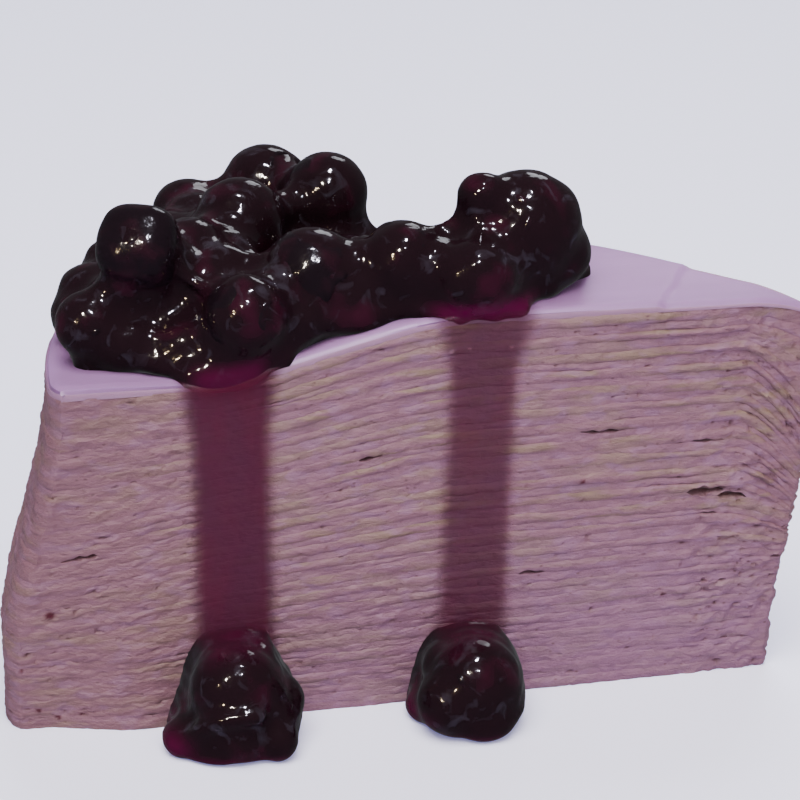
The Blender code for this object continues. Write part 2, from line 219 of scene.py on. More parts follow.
def crumbMaterial(name, look):
    # Cooked batter or whipped cream at a knife cut: matt, soft, a little light passes into it.
    # The knife drags cream over everything, so crepe and cream share one set of smears and pits.
    material = newMaterial(name)
    along = objectPlace(material, (9, 9, 1))
    plain = objectPlace(material)
    smear = addNode(material, "ShaderNodeAttribute", {"attribute_name": "smear"}).outputs["Fac"]
    patches = addRamp(material, grain(material, along, look["patchMm"], 1.5),
                      [(look["bareFrom"], 0.0), (look["bareTo"], 1.0)])
    bare = addNode(material, "ShaderNodeMath", {"operation": "SUBTRACT", "use_clamp": True},
                   {0: patches, 1: smear}).outputs[0]
    colour = mixColours(material, bare, look["smeared"], look["bare"])
    warmth = addRamp(material, grain(material, objectPlace(material, (3.5, 3.5, 1)), look["warmMm"], 1.0),
                     [(look["warmFrom"], 0.0), (look["warmFrom"] + 0.18, look["warmShare"])])
    colour = mixColours(material, warmth, colour, look["warm"])
    cool = addRamp(material, grain(material, objectPlace(material, (2.2, 2.2, 1)), look["coolMm"], 1.0),
                   [(look["coolFrom"], 0.0), (look["coolFrom"] + 0.12, look["coolShare"])])
    colour = mixColours(material, cool, colour, look["cool"])
    soaked = addNode(material, "ShaderNodeAttribute", {"attribute_name": "soaked"}).outputs["Fac"]
    colour = mixColours(material, soaked, colour, look["soaked"])
    streaks = addRamp(material, grain(material, along, look["streakMm"], 1.5),
                      [(0.3, look["streakDark"]), (0.7, look["streakLight"])])
    colour = mixColours(material, look["streakShare"], colour, streaks, "MULTIPLY")
    blotches = addRamp(material, grain(material, plain, look["blotchMm"], 1.0),
                       [(0.3, look["blotchDark"]), (0.7, look["blotchLight"])])
    colour = mixColours(material, look["blotchShare"], colour, blotches, "MULTIPLY")
    # painted shade: darkens the layer tops and bottoms seen inside cracks, and the pits; also darker towards the left
    # end and the tip
    shadeAndDarkerEnds = addNode(material, "ShaderNodeAttribute", {"attribute_name": "shadeAndDarkerEnds"}).outputs["Fac"]
    colour = mixColours(material, shadeAndDarkerEnds, colour, look["shadeAndDarkerEnds"])
    stain = addNode(material, "ShaderNodeAttribute", {"attribute_name": "stain"}).outputs["Fac"]
    colour = mixColours(material, stain, colour, look["stain"])
    # painted shade: small dark spots drawn as air holes, with no hollow in the mesh under them
    pits = addNode(material, "ShaderNodeTexVoronoi", {"Scale": perMm(look["pitMm"]), "Randomness": 1.0},
                   {"Vector": objectPlace(material, (1.7, 1.7, 1))}).outputs["Distance"]
    shadedPits = addRamp(material, pits, [(0.05, 1.0), (0.2, 0.0)])
    chance = addRamp(material, grain(material, plain, look["pitGroupMm"], 0.0), [(0.5, 0.0), (0.62, 1.0)])
    shadedPits = addNode(material, "ShaderNodeMath", {"operation": "MULTIPLY"}, {0: shadedPits, 1: chance}).outputs[0]
    colour = mixColours(material, shadedPits, colour, look["pitShade"])
    fine = grain(material, objectPlace(material, (2.5, 2.5, 1)), look["fineMm"], 3.0, 0.6)
    bump = addNode(material, "ShaderNodeBump", {"Strength": look["bump"], "Distance": look["fineMm"] * 0.7 * mm},
                   {"Height": fine}).outputs[0]
    shader = addNode(material, "ShaderNodeBsdfPrincipled",
                     {"Roughness": look["roughness"], "IOR": 1.4, "Specular IOR Level": 0.35},
                     {"Base Color": colour, "Normal": bump})
    return finishMaterial(material, shader)


crumbLook = {
    # shadeAndDarkerEnds is painted shade for cracks and pits, also used to darken the left end and tip; pitShade is
    # painted shade of small holes
    "smeared": "#785461", "bare": "#765E53", "shadeAndDarkerEnds": "#5E3E40", "pitShade": "#54363E", "stain": "#3E0018",
    "patchMm": 1.0, "bareFrom": 0.46, "bareTo": 0.64,
    "warm": "#7A6556", "warmMm": 2.6, "warmFrom": 0.48, "warmShare": 0.5,
    "soaked": "#7B5672", "cool": "#815D77", "coolMm": 1.6, "coolFrom": 0.56, "coolShare": 0.6,
    "streakMm": 0.40, "streakDark": 0.66, "streakLight": 1.0, "streakShare": 0.55,
    "blotchMm": 1.8, "blotchDark": 0.82, "blotchLight": 1.0, "blotchShare": 0.65,
    "pitMm": 1.0, "pitGroupMm": 3.0, "fineMm": 0.35, "bump": 1.0, "roughness": 0.62,
}
crepeMaterial = crumbMaterial("cooked crepe batter", crumbLook)
creamMaterial = crumbMaterial("whipped lavender cream", dict(
    crumbLook, smeared="#7B5666", bare="#785864", bareFrom=0.5, bareTo=0.75, coolFrom=0.52, warmShare=0.35))


def coatMaterial():
    # Whipped cream smoothed with a warm palette knife: satin, close-grained, faint long strokes.
    look = {"colour": "#916B9D", "shade": "#876391", "edge": "#80607A", "strokeMm": 2.2, "grainMm": 0.3}
    material = newMaterial("smoothed lavender cream")
    strokes = grain(material, objectPlace(material, (14, 3, 3)), look["strokeMm"], 2.0)
    colour = mixColours(material, addRamp(material, strokes, [(0.3, 0.0), (0.75, 1.0)]), look["shade"], look["colour"])
    edge = addNode(material, "ShaderNodeAttribute", {"attribute_name": "edge"}).outputs["Fac"]
    colour = mixColours(material, edge, colour, look["edge"])
    fine = grain(material, objectPlace(material), look["grainMm"], 3.0)
    height = addNode(material, "ShaderNodeMath", {"operation": "MULTIPLY_ADD", 1: 3.0}, {0: strokes, 2: fine}).outputs[0]
    bump = addNode(material, "ShaderNodeBump", {"Strength": 0.25, "Distance": 0.12 * mm}, {"Height": height}).outputs[0]
    shader = addNode(material, "ShaderNodeBsdfPrincipled",
                     {"Roughness": 0.45, "IOR": 1.42, "Subsurface Weight": 0.2,
                      "Subsurface Radius": (1.0, 0.6, 0.8), "Subsurface Scale": 1.5 * mm},
                     {"Base Color": colour, "Normal": bump})
    return finishMaterial(material, shader)


def syrupMaterial():
    # Boiled berry sauce thick enough to stand: nearly black in bulk, magenta where light gets through.
    look = {"bulk": "#150A0F", "ruby": "#240A16", "thin": "#3F0326", "patchMm": 5.0,
            # the "skin" colour is a painted sheen: grey-blue patches standing in for a soft window reflection on the
            # glaze
            "skin": "#2E2A33", "sheenPatchMm": 3.4, "sheenPatchShare": 0.55}
    material = newMaterial("thick berry sauce")
    plain = objectPlace(material)
    patches = addRamp(material, grain(material, plain, look["patchMm"], 1.5), [(0.56, 0.0), (0.72, 1.0)])
    colour = mixColours(material, patches, look["bulk"], look["ruby"])
    # painted sheen: lighter grey-blue patches of reflected window light laid into the colour of the dark sauce
    skin = addNode(material, "ShaderNodeTexNoise", {"Scale": perMm(look["sheenPatchMm"]), "Detail": 4.0, "Distortion": 1.2},
                   {"Vector": plain}).outputs[0]
    skin = addRamp(material, skin, [(0.56, 0.0), (0.70, look["sheenPatchShare"])])
    colour = mixColours(material, skin, colour, look["skin"])
    thin = addNode(material, "ShaderNodeAttribute", {"attribute_name": "thin"}).outputs["Fac"]
    colour = mixColours(material, thin, colour, look["thin"])
    ripple = grain(material, plain, 1.6, 2.0)
    bump = addNode(material, "ShaderNodeBump", {"Strength": 0.6, "Distance": 0.15 * mm}, {"Height": ripple}).outputs[0]
    shader = addNode(material, "ShaderNodeBsdfPrincipled",
                     {"Roughness": 0.09, "IOR": 1.42, "Specular IOR Level": 0.30},
                     {"Base Color": colour, "Normal": bump})
    return finishMaterial(material, shader)


def filmMaterial():
    # The same sauce run thin over the cut: the layers show through it.
    look = {"colour": "#481931", "core": "#4E142D", "glow": "#42021F"}
    material = newMaterial("thin berry sauce")
    plain = objectPlace(material, (1, 1, 4))
    patches = addRamp(material, grain(material, plain, 3.0, 2.0), [(0.45, 0.0), (0.7, 1.0)])
    colour = mixColours(material, patches, look["colour"], look["core"])
    glow = addNode(material, "ShaderNodeAttribute", {"attribute_name": "glow"}).outputs["Fac"]
    colour = mixColours(material, glow, colour, look["glow"])
    cover = addNode(material, "ShaderNodeAttribute", {"attribute_name": "cover"}).outputs["Fac"]
    shader = addNode(material, "ShaderNodeBsdfPrincipled",
                     {"Roughness": 0.4, "IOR": 1.4, "Specular IOR Level": 0.25},
                     {"Base Color": colour, "Alpha": cover})
    return finishMaterial(material, shader)


def berryMaterial():
    # Cooked berry skin under glaze: blue-black with a ruby bloom where the skin has split.
    look = {"skin": "#110A0F", "bloom": "#1E0C14", "patchMm": 3.5}
    material = newMaterial("glazed berry skin")
    plain = objectPlace(material)
    patches = addRamp(material, grain(material, plain, look["patchMm"], 2.0), [(0.48, 0.0), (0.7, 1.0)])
    colour = mixColours(material, patches, look["skin"], look["bloom"])
    wrinkles = grain(material, plain, 1.1, 3.0)
    bump = addNode(material, "ShaderNodeBump", {"Strength": 0.6, "Distance": 0.15 * mm}, {"Height": wrinkles}).outputs[0]
    shader = addNode(material, "ShaderNodeBsdfPrincipled",
                     {"Roughness": 0.12, "IOR": 1.42, "Specular IOR Level": 0.30},
                     {"Base Color": colour, "Normal": bump})
    return finishMaterial(material, shader)


# ---- the wedge, shared by all layers ----

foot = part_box("crepe_01")
lastCrepe = max(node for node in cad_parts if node.startswith("crepe_"))
wedge = {
    "tipBlunt": 2.5 * mm, "radius": 100 * mm, "angle": radians(45), "cut": foot[0].y,
    "bulgeFoot": 7.4 * mm, "bulgeTop": 0.8 * mm, "bulgeFrom": 0.3, "setBack": 3.6 * mm,
    "overhang": 3.2 * mm, "droop": 1.6 * mm, "droopReach": 8 * mm,
    "heightAtRim": 48.2 * mm, "heightInside": 54.8 * mm, "shoulder": (46 * mm, 84 * mm),
    "farRise": 1.8 * mm, "farRiseReach": 22 * mm, "coat": 1.2 * mm,
}
wedge["apex"] = foot[1].x + wedge["tipBlunt"] * cos(wedge["angle"])
crepeCount = sum(node.startswith("crepe_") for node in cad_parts)


def cakeHeight(x, y):  # finished top, before the tip's droop
    radius = np.hypot(wedge["apex"] - x, y - wedge["cut"])
    inside = wedge["heightInside"] + wedge["farRise"] * smoothStep(0, wedge["farRiseReach"], y - wedge["cut"])
    return inside + (wedge["heightAtRim"] - inside) * smoothStep(*wedge["shoulder"], radius)


def bendIntoCake(out, around, level):  # plan place for shares of the way out, around and up
    grown = wedge["bulgeFoot"] + (wedge["bulgeTop"] - wedge["bulgeFoot"]) * smoothStep(wedge["bulgeFrom"], 1, level)
    corner = 1.5 * mm * np.clip(1 - np.minimum(around, 1 - around) / 0.05, 0, 1) ** 2
    blunt = wedge["tipBlunt"] * (1 - 0.2 * np.sin(pi * np.clip(around, 0, 1)))
    radius = blunt + out * (wedge["radius"] + grown - corner - blunt)
    angle = around * wedge["angle"]
    lean = wedge["overhang"] * smoothStep(0, 0.7, level) * (1 - out) ** 5
    back = wedge["setBack"] * (1 - level) * smoothStep(0.84, 1, out) * (1 - around)
    return wedge["apex"] - radius * np.cos(angle) + lean, wedge["cut"] + radius * np.sin(angle) + back


def stackHeight(x, y, level, out):  # height of the surface at that share of the stack under the coat
    solid = cakeHeight(x, y) - wedge["coat"]
    nearTip = np.clip(1 - out * wedge["radius"] / wedge["droopReach"], 0, 1)
    return level * solid - wedge["droop"] * level ** 2 * nearTip ** 1.8


# ---- layers ----

layers = {
    "frontSteps": 290, "farSteps": 150, "rimSteps": 130, "tipSteps": 9,
    "ring": 1.0 * mm,          # width of the top and bottom that can be seen into from a crack
    "rows": 6,                 # faces up the edge of each layer
    "crepeToCream": 1.35,
    "waves": ((0.32 * mm, 12 * mm), (0.18 * mm, 3.5 * mm), (0.12 * mm, 1.1 * mm)),
    "rimSag": 4.2 * mm, "rimSagReach": (0.70, 1.0),
    "tipSag": 7.0 * mm, "tipSagReach": 8 * mm, "tipSmear": 3.5 * mm,
    "ridge": (0.07 * mm, 0.40 * mm), "bolder": 0.5, "furrow": (-0.20 * mm, 0.12 * mm), "seam": 0.10 * mm,
    # height and width of the cut's unevenness; the width is along the layers, up it is a share of that
    "lumps": ((0.30 * mm, 26 * mm), (0.14 * mm, 6 * mm), (0.11 * mm, 2.0 * mm), (0.11 * mm, 0.8 * mm)),
    "lumpFlatness": 0.55,
    "pitDepth": 0.4 * mm, "pitWidth": 0.9 * mm, "pitFrom": 0.68, "darker": 0.28, "soaked": 0.6,
}

# Cracks and hollows on the front cut: middle and half length along the cut, height of the middle,
# and how wide they gape.
cracks = (
    {"x": 49.8, "z": 27.7, "half": 2.4, "gape": 0.85},
    {"x": 53.7, "z": 25.6, "half": 2.0, "gape": 0.5},
    {"x": 50.8, "z": 23.2, "half": 1.0, "gape": 0.3},
    {"x": 25.4, "z": 17.0, "half": 1.9, "gape": 0.3},
    {"x": 34.4, "z": 37.6, "half": 2.8, "gape": 0.35},
    {"x": 49.8, "z": 34.4, "half": 2.2, "gape": 0.25},
    {"x": -35.2, "z": 25.0, "half": 2.4, "gape": 0.5},
    {"x": 3.0, "z": 36.6, "half": 1.6, "gape": 0.25},
)


# Spots of sauce on the front cut: place along it, height, radius (mm)
stains = ((-39.2, 17.0, 0.7), (32.1, 30.2, 0.35), (-14.0, 40.2, 0.4), (44.5, 12.5, 0.3),
          (-41.0, 2.8, 0.45), (-38.4, 1.6, 0.4), (-35.6, 2.2, 0.3), (-43.0, 9.0, 0.35))


def outlineShares():  # places along the edge of a layer, as shares out and around, from the rim along the front cut
    front = [(1 - step / layers["frontSteps"], 0) for step in range(layers["frontSteps"])]
    tip = [(0, step / layers["tipSteps"]) for step in range(layers["tipSteps"])]
    far = [(step / layers["farSteps"], 1) for step in range(layers["farSteps"])]
    rim = [(1, 1 - step / layers["rimSteps"]) for step in range(layers["rimSteps"])]
    return np.array(front + tip + far + rim, float)


def sharesAt(points):  # shares out and around of plan places on the plain wedge
    away = wedge["apex"] - points[:, 0]
    aside = points[:, 1] - wedge["cut"]
    around = np.arctan2(aside, away) / wedge["angle"]
    out = (np.hypot(away, aside) - wedge["tipBlunt"]) / (wedge["radius"] - wedge["tipBlunt"])
    return np.clip(out, 0, 1), np.clip(around, 0, 1)


def makeBlankLayer():  # a flat wedge one unit thick, closely divided where its edge will show
    shares = outlineShares()
    radius = wedge["tipBlunt"] + shares[:, 0] * (wedge["radius"] - wedge["tipBlunt"])
    angle = shares[:, 1] * wedge["angle"]
    deselectAll()
    bpy.ops.mesh.primitive_circle_add(vertices=len(shares), radius=wedge["radius"], fill_type="NGON")
    blank = newest("blankLayer")
    movePoints(blank, np.stack([wedge["apex"] - radius * np.cos(angle),
                                wedge["cut"] + radius * np.sin(angle), np.zeros(len(radius))], 1))
    bpy.ops.object.mode_set(mode="EDIT")
    bpy.ops.mesh.select_mode(type="FACE")
    bpy.ops.mesh.select_all(action="SELECT")
    bpy.ops.mesh.normals_make_consistent(inside=False)
    bpy.ops.mesh.inset(thickness=layers["ring"], use_even_offset=True)
    bpy.ops.mesh.select_all(action="SELECT")
    bpy.ops.mesh.extrude_region_move(TRANSFORM_OT_translate={"value": (0, 0, 1)})
    bpy.ops.mesh.select_mode(type="EDGE")
    bpy.ops.mesh.select_all(action="DESELECT")
    bpy.ops.object.mode_set(mode="OBJECT")
    heights = pointsOf(blank)[:, 2]
    for edge in blank.data.edges:
        low, high = edge.vertices
        edge.select = bool(abs(heights[low] - heights[high]) > 0.5)
    bpy.ops.object.mode_set(mode="EDIT")
    bpy.ops.mesh.subdivide(number_cuts=layers["rows"] - 1)
    bpy.ops.mesh.select_all(action="SELECT")
    bpy.ops.mesh.normals_make_consistent(inside=False)
    bpy.ops.object.mode_set(mode="OBJECT")
    return blank


def waviness(x, y, boundary):  # how far a boundary between two layers strays from its even place
    place = np.stack([x, y, np.full(len(x), boundary * 1.0)], 1)
    place[:, 2] *= 57 * mm
    total = np.zeros(len(x))
    for index, (height, length) in enumerate(layers["waves"]):
        total += height * softNoise(place, length, 3 + index)
    return total


def tipSagAt(level):  # the middle layers hang most at the tip
    return float(smoothStep(0.22, 0.75, np.array(level)) * smoothStep(1, 0.86, np.array(level)))


def makeLayer(blank, name, index, starts, ends, boundaryCount):
    isCrepe = index % 2 == 0
    piece = duplicateOf(blank, name)
    plain = pointsOf(piece)
    up = 0.5 - 0.5 * np.cos(pi * plain[:, 2])         # closer rows at the layer's two corners
    out, around = sharesAt(plain)
    edge = edgeShare
    level = starts + (ends - starts) * up
    x, y = bendIntoCake(out, around, level)
    low = stackHeight(x, y, starts, out) + (waviness(x, y, index) if index > 0 else 0)
    high = stackHeight(x, y, ends, out) + (waviness(x, y, index + 1) if index + 1 < boundaryCount else 0)
    sagging = layers["rimSag"] * smoothStep(*layers["rimSagReach"], out) ** 1.5
    low -= sagging * np.sin(pi * starts) ** 1.2
    high -= sagging * np.sin(pi * ends) ** 1.2
    nearTip = np.clip(1 - out * wedge["radius"] / layers["tipSagReach"], 0, 1) ** 1.4
    low -= layers["tipSag"] * nearTip * tipSagAt(starts)
    high -= layers["tipSag"] * nearTip * tipSagAt(ends)
    z = low + (high - low) * up

    # outward relief of the edge
    rimward = smoothStep(0.76, 0.93, out)
    place = np.stack([x, y, z], 1)
    flatPlace = place * [layers["lumpFlatness"], layers["lumpFlatness"], 1]
    smear = 0.30 + 0.25 * (1 - level) + 0.55 * softNoise(flatPlace, 4 * mm, 11) + 0.35 * softNoise(flatPlace, 1.4 * mm, 12)
    tipward = smoothStep(layers["tipSmear"], 1.5 * mm, out * wedge["radius"])
    smear = np.clip(smear + 0.6 * rimward + 0.45 * tipward, 0, 1)
    swell = 0.5 + 0.5 * softNoise(np.stack([x, y, np.full(len(x), index * 41 * mm)], 1), 7 * mm, 5)
    lowest, highest = layers["ridge"] if isCrepe else layers["furrow"]
    crown = (lowest + (highest - lowest) * swell) * (1 - 0.75 * smear)
    crown *= 0.6 + (0.3 + layers["bolder"] * smoothStep(10 * mm, 50 * mm, x)) * smoothStep(0.15, 0.6, level)
    crown = crown * (1 - (2 * up - 1) ** 2) - layers["seam"] * (1 - 0.9 * smear) * (2 * up - 1) ** 4
    messy = 1 + 1.3 * smoothStep(0.16, 0.07, out) + 0.45 * rimward
    lumps = sum(height * (messy if turn else 1)
                * softNoise(flatPlace, length * layers["lumpFlatness"] if turn else length, 20 + turn)
                for turn, (height, length) in enumerate(layers["lumps"]))
    pits = softNoise(flatPlace, layers["pitWidth"] * layers["lumpFlatness"], 30)
    pits += 0.06 * rimward + 0.16 * smoothStep(0.16, 0.06, out)
    pits = smoothStep(layers["pitFrom"], layers["pitFrom"] + 0.3, pits)
    push = edge * (crown + lumps - layers["pitDepth"] * pits)

    # cracks gape on the front cut only
    shadeAndDarkerEnds = np.zeros(len(x))
    onFront = edge * (around < 0.01)
    for crack in cracks:
        nearness = np.clip(1 - ((x / mm - crack["x"]) / crack["half"]) ** 2, 0, 1)
        bottom, top = low / mm, high / mm
        above = np.clip(1 - np.abs(bottom - crack["z"]) / 1.1, 0, 1) > 0
        below = np.clip(1 - np.abs(top - crack["z"]) / 1.1, 0, 1) > 0
        nearestLow = nearness * above * (crackBoundary(crack) == index)
        nearestHigh = nearness * below * (crackBoundary(crack) == index + 1)
        gape = crack["gape"] * mm * np.clip(0.8 + 0.7 * softNoise(place * [1, 1, 0], 0.9 * mm, 40), 0.1, 1.4)
        z = z + onFront * gape * nearestLow ** 0.5 * (1 - up) ** 1.5
        z = z - onFront * gape * nearestHigh ** 0.5 * up ** 1.5
    angle = around * wedge["angle"]
    normal = np.stack([np.where(around >= 0.999, np.sin(wedge["angle"]), 0.0),
                       np.where(around >= 0.999, np.cos(wedge["angle"]), -1.0)], 1)
    onRim = out > 0.999
    normal[onRim] = np.stack([-np.cos(angle), np.sin(angle)], 1)[onRim]
    onTip = out < 0.001
    normal[onTip] = [1, 0]
    x = x + normal[:, 0] * push
    y = y + normal[:, 1] * push
    z = np.maximum(z, 0)
    movePoints(piece, np.stack([x, y, z], 1))
    stain = np.zeros(len(x))
    for stainX, stainZ, size in stains:
        away = np.hypot(x / mm - stainX, (z / mm - stainZ) * 1.3) / size + 0.5 * softNoise(place, 0.8 * mm, 45)
        stain = np.maximum(stain, smoothStep(1.2, 0.7, away))
    storeValue(piece, "stain", stain * (around < 0.05) * edge)
    storeValue(piece, "smear", smear)
    storeValue(piece, "soaked", layers["soaked"] * smoothStep(0.55, 0.15, level) * smoothStep(-30 * mm, 30 * mm, x))
    # darker towards the left end and the tip; off the edge (layer tops and bottoms seen in cracks) and in pits the
    # colour is painted shade
    darker = layers["darker"] * np.maximum(smoothStep(-8 * mm, -30 * mm, x), 0.6 * tipward)
    storeValue(piece, "shadeAndDarkerEnds", np.where(edge > 0.5, np.maximum(0.5 * pits, darker), 0.8))
    smoothShading(piece)
    return piece


weights = [layers["crepeToCream"] if index % 2 == 0 else 1.0 for index in range(2 * crepeCount - 1)]
levels = np.concatenate([[0], np.cumsum(weights) / sum(weights)])


def crackBoundary(crack):  # number of the boundary between layers that lies nearest to a crack
    x, y = np.array([crack["x"] * mm]), np.array([wedge["cut"]])
    out = np.clip((wedge["apex"] - x - wedge["tipBlunt"]) / (wedge["radius"] - wedge["tipBlunt"]), 0, 1)
    sagging = layers["rimSag"] * smoothStep(*layers["rimSagReach"], out) ** 1.5
    heights = [stackHeight(x, y, level, out)[0] - sagging[0] * sin(pi * level) ** 1.2 for level in levels]
    return int(np.argmin(np.abs(np.array(heights) - crack["z"] * mm)))


blank = makeBlankLayer()
flat = pointsOf(blank)
outEdge, aroundEdge = sharesAt(flat)
edgeShare = ((outEdge < 1e-4) | (outEdge > 1 - 1e-4) | (aroundEdge < 1e-4) | (aroundEdge > 1 - 1e-4)).astype(float)
for index in range(2 * crepeCount - 1):
    kind, number = ("crepe", "cream")[index % 2], index // 2 + 1
    layer = makeLayer(blank, f"{kind}{number:02d}", index, levels[index], levels[index + 1], 2 * crepeCount - 1)
    standFor(layer, creamMaterial if index % 2 else crepeMaterial, kind, f"{kind}_{number:02d}")
    layer.visible_glossy = False                        # the sauce mirrors a dim room, not the lit cake
bpy.data.objects.remove(blank)
print("layers:", 2 * crepeCount - 1, "pieces of", len(flat), "points")

# ---- coat ----

coat = {"outSteps": 190, "aroundSteps": 74, "rows": 5, "creaseFrom": (42.2, -24.7), "creaseTo": (52.0, -9.1),
        "creaseStep": 0.45 * mm, "edgeRound": 0.9 * mm, "edgeWidth": 2.0 * mm, "waves": ((0.22 * mm, 17 * mm), (0.06 * mm, 5 * mm))}


def coatTop(x, y, out):  # finished upper surface of the coat
    place = np.stack([x, y, np.zeros(len(x))], 1)
    height = stackHeight(x, y, 1, out) + wedge["coat"]
    for index, (rise, length) in enumerate(coat["waves"]):
        height += rise * softNoise(place, length, 60 + index)
    start, end = np.array(coat["creaseFrom"]) * mm, np.array(coat["creaseTo"]) * mm
    along = (end - start) / np.linalg.norm(end - start)
    beyond = (x - start[0]) * along[1] - (y - start[1]) * along[0]
    beyond += 0.8 * mm * softNoise(place, 5 * mm, 71)
    return height - coat["creaseStep"] * smoothStep(-0.5 * mm, 0.5 * mm, beyond) * smoothStep(0, 8 * mm, x - 30 * mm)


def makeCoat():
    deselectAll()
    bpy.ops.mesh.primitive_grid_add(x_subdivisions=coat["outSteps"], y_subdivisions=coat["aroundSteps"], size=1)
    piece = newest("topCoat")
    bpy.ops.object.mode_set(mode="EDIT")
    bpy.ops.mesh.select_all(action="SELECT")
    bpy.ops.mesh.extrude_region_move(TRANSFORM_OT_translate={"value": (0, 0, 1)})
    bpy.ops.mesh.select_mode(type="EDGE")
    bpy.ops.mesh.select_all(action="DESELECT")
    bpy.ops.object.mode_set(mode="OBJECT")
    heights = pointsOf(piece)[:, 2]
    for edge in piece.data.edges:
        edge.select = bool(abs(heights[edge.vertices[0]] - heights[edge.vertices[1]]) > 0.5)
    bpy.ops.object.mode_set(mode="EDIT")
    bpy.ops.mesh.subdivide(number_cuts=coat["rows"] - 1)
    bpy.ops.mesh.select_all(action="SELECT")
    bpy.ops.mesh.normals_make_consistent(inside=False)
    bpy.ops.object.mode_set(mode="OBJECT")
    unit = pointsOf(piece)
    out = 0.5 - unit[:, 0]
    around = 0.5 + unit[:, 1]
    around = 0.5 + 0.5 * np.sin(pi * (around - 0.5)) * 0.35 + (around - 0.5) * 0.65     # closer at the two cuts
    up = 0.5 - 0.5 * np.cos(pi * unit[:, 2])
    x, y = bendIntoCake(out, around, np.full(len(out), 1.0))
    bottom = stackHeight(x, y, 1, out) - 0.15 * mm
    top = coatTop(x, y, out)
    toEdge = np.minimum.reduce([(1 - out) * wedge["radius"], out * wedge["radius"] + 1 * mm,
                                np.minimum(around, 1 - around) * wedge["angle"] * (out * wedge["radius"] + 2 * mm)])
    rounding = coat["edgeRound"] * np.clip(1 - toEdge / coat["edgeWidth"], 0, 1) ** 3
    z = bottom + (top - rounding * smoothStep(0.5, 1, up) - bottom) * up
    edge = (toEdge < 1e-5).astype(float)
    place = np.stack([x, y, z], 1)
    push = edge * (0.08 * mm * (1 - up ** 2) + 0.12 * mm * softNoise(place, 4 * mm, 80)
                   + 0.30 * mm * softNoise(place, 26 * mm, 20) - 0.35 * mm * smoothStep(0.5, 1, up))
    centre = np.array([wedge["apex"] - 0.6 * wedge["radius"], wedge["cut"] + 0.25 * wedge["radius"]])
    normal = np.stack([np.where(around > 0.99, np.sin(wedge["angle"]), 0), np.where(around > 0.99, np.cos(wedge["angle"]), -1.0)], 1)
    angle = around * wedge["angle"]
    normal[out > 0.999] = np.stack([-np.cos(angle), np.sin(angle)], 1)[out > 0.999]
    normal[out < 0.001] = [1, 0]
    movePoints(piece, np.stack([x + normal[:, 0] * push, y + normal[:, 1] * push, z], 1))
    storeValue(piece, "edge", edge * (1 - smoothStep(0.6, 1, up)))
    smoothShading(piece)
    return piece


topCoat = makeCoat()
topCoat.visible_glossy = False
standFor(topCoat, coatMaterial(), "coat", "top_coat")
print("coat:", len(topCoat.data.polygons), "faces")

# ---- berries ----

berryMaterialMade = berryMaterial()

berries = {
    "divisions": 5, "lumps": ((0.045, 0.9), (0.02, 0.35)), "flatten": 0.05,
    "crownAt": 0.44, "crownWidth": 0.10, "crownHeight": 0.07, "crownDepth": 0.10,
    # where the crown of a berry points, if it can be seen; the others are turned at random
    "crowns": {1: (0.3, -0.85, -0.25), 4: (0.55, -0.8, -0.25), 7: (-0.6, -0.7, 0.35), 12: (0.4, -0.65, 0.6),
               13: (0.3, 0.5, -0.7), 11: (0.2, 0.6, -0.7), 8: (0.3, 0.5, -0.7), 5: (0.2, 0.6, -0.7),
               9: (0.3, 0.6, -0.6), 10: (0.1, 0.6, -0.7), 6: (-0.1, 0.6, -0.7)},
    "boxy": {9: 2.8, 4: 2.3, 7: 2.1},
    "settled": {7: (0.95, (-0.8, 0, -0.1))},     # share of its size, and how far it has sunk into the sauce (mm)
}


def berryPlace(number):
    low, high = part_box(f"berry_{number:02d}")
    return (low + high) / 2, (high - low).length / (2 * 3 ** 0.5)


def makeBerry(number):
    centre, radius = berryPlace(number)
    deselectAll()
    bpy.ops.mesh.primitive_ico_sphere_add(subdivisions=berries["divisions"], radius=1)
    piece = newest(f"berry{number:02d}")
    chance = np.random.default_rng(number)
    ray = pointsOf(piece)
    ray /= np.linalg.norm(ray, axis=1)[:, None]
    crown = Vector(berries["crowns"].get(number, chance.normal(size=3))).normalized()
    turn = np.array(crown.to_track_quat("Z", "Y").to_matrix())
    local = ray @ turn
    size = np.ones(len(ray))
    power = berries["boxy"].get(number, 2.0)
    size /= (np.abs(local) ** power).sum(1) ** (1 / power)
    size = 1 + (size - 1) * 0.9
    for index, (height, length) in enumerate(berries["lumps"]):
        size += height * softNoise(ray, length, 100 + 7 * number + index)
    size *= 1 - berries["flatten"] * np.abs(local[:, 2]) ** 2
    tilt = np.arccos(np.clip(local[:, 2], -1, 1))
    spin = np.arctan2(local[:, 1], local[:, 0])
    lobes = 1 + 0.45 * np.cos(5 * spin + number) + 0.2 * softNoise(ray, 0.25, number)
    size += berries["crownHeight"] * lobes * np.exp(-((tilt - berries["crownAt"]) / berries["crownWidth"]) ** 2)
    size -= berries["crownDepth"] * smoothStep(berries["crownAt"], 0.1, tilt)
    share, shift = berries["settled"].get(number, (1, (0, 0, 0)))
    movePoints(piece, ray * size[:, None] * radius * share + np.array(centre) + np.array(shift) * mm)
    piece.data.shade_smooth()
    standFor(piece, berryMaterialMade, "berry", f"berry_{number:02d}")
    return piece


topNumbers, footNumbers = range(1, 14), range(14, 16)
for number in (*topNumbers, *footNumbers):
    makeBerry(number)
print("berries:", len(topNumbers) + len(footNumbers))

# ---- sauce over and between the berries ----


def addBall(centre, radii, name="ball", divisions=4):
    deselectAll()
    bpy.ops.mesh.primitive_ico_sphere_add(subdivisions=divisions, radius=1, location=centre, scale=radii)
    ball = newest(name)
    freezePlace(ball)
    return ball


